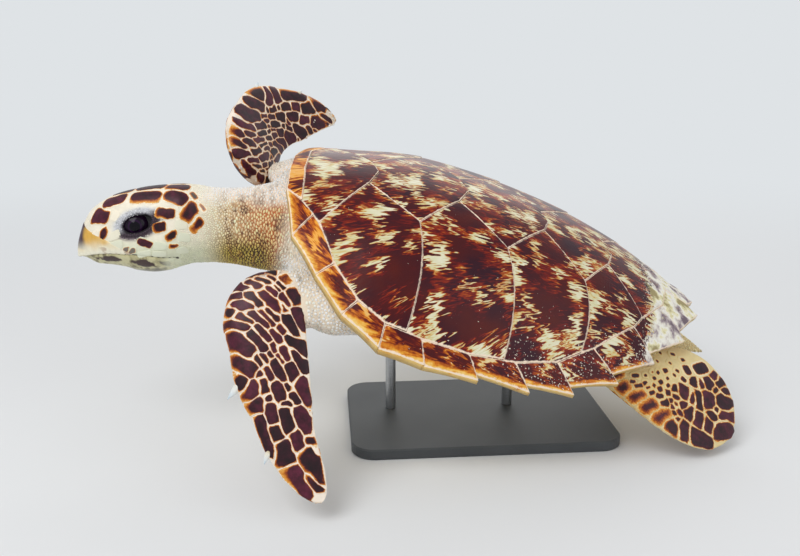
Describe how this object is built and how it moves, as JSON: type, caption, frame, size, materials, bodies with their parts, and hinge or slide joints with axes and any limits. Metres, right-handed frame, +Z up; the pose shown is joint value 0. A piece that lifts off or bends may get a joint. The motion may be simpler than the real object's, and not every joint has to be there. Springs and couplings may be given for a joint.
{
  "type": "hawksbill sea turtle model on a display stand",
  "caption": "Life-size still model of a young hawksbill sea turtle, gliding with one fore flipper down and the other raised, held by a plain stand with a flat base and short rods.",
  "frame": {"origin": "middle of the stand base's underside, on the surface it stands on", "axes": "+X towards the tail, along the swimming direction; +Y towards the animal's right side; +Z up"},
  "size_m": [0.7223, 0.4859, 0.3841],
  "materials": {
    "scute": "polished horn, dark maroon-brown with amber and cream streaks",
    "scute_amber": "polished horn, amber to dark brown with pale edges",
    "scute_worn": "horn, worn and whitish towards the tail",
    "plastron": "horn, yellow-cream, satin",
    "skin": "granular skin, cream to olive",
    "head_scales": "smooth scales, dark brown with cream seams",
    "flipper_scales": "smooth scales, dark maroon with cream seams",
    "beak": "horn, cream, satin",
    "claw": "horn, white, satin",
    "eye": "wet gloss, dark brown to black",
    "stand_paint": "charcoal powder coat, satin",
    "stand_steel": "brushed"
  },
  "bodies": {
    "root": {"nuchal": "scute_amber", "vertebral_1": "scute", "vertebral_2": "scute", "vertebral_3": "scute", "vertebral_4": "scute", "vertebral_5": "scute", "costal_left_1": "scute", "costal_left_2": "scute", "costal_left_3": "scute", "costal_left_4": "scute", "costal_right_1": "scute", "costal_right_2": "scute", "costal_right_3": "scute", "costal_right_4": "scute", "marginal_left_1": "scute_amber", "marginal_left_2": "scute_amber", "marginal_left_3": "scute_amber", "marginal_left_4": "scute_amber", "marginal_left_5": "scute_amber", "marginal_left_6": "scute_amber", "marginal_left_7": "scute_amber", "marginal_left_8": "scute_amber", "marginal_left_9": "scute_worn", "marginal_left_10": "scute_worn", "marginal_left_11": "scute_worn", "supracaudal_left": "scute_worn", "marginal_right_1": "scute_amber", "marginal_right_2": "scute_amber", "marginal_right_3": "scute_amber", "marginal_right_4": "scute_amber", "marginal_right_5": "scute_amber", "marginal_right_6": "scute_amber", "marginal_right_7": "scute_amber", "marginal_right_8": "scute_amber", "marginal_right_9": "scute_worn", "marginal_right_10": "scute_worn", "marginal_right_11": "scute_worn", "supracaudal_right": "scute_worn", "plastron": "plastron", "trunk": "skin", "neck": "skin", "tail": "skin", "arm_left": "skin", "arm_right": "skin", "head": "head_scales", "beak_upper": "beak", "jaw_lower": "beak", "eye_left": "eye", "eye_right": "eye", "flipper_fore_left": "flipper_scales", "flipper_hind_left": "flipper_scales", "claw_left_1": "claw", "claw_left_2": "claw", "flipper_fore_right": "flipper_scales", "flipper_hind_right": "flipper_scales", "claw_right_1": "claw", "claw_right_2": "claw", "stand_base": "stand_paint", "stand_rod_front": "stand_steel", "stand_rod_rear": "stand_steel"}
  },
  "joints": []
}
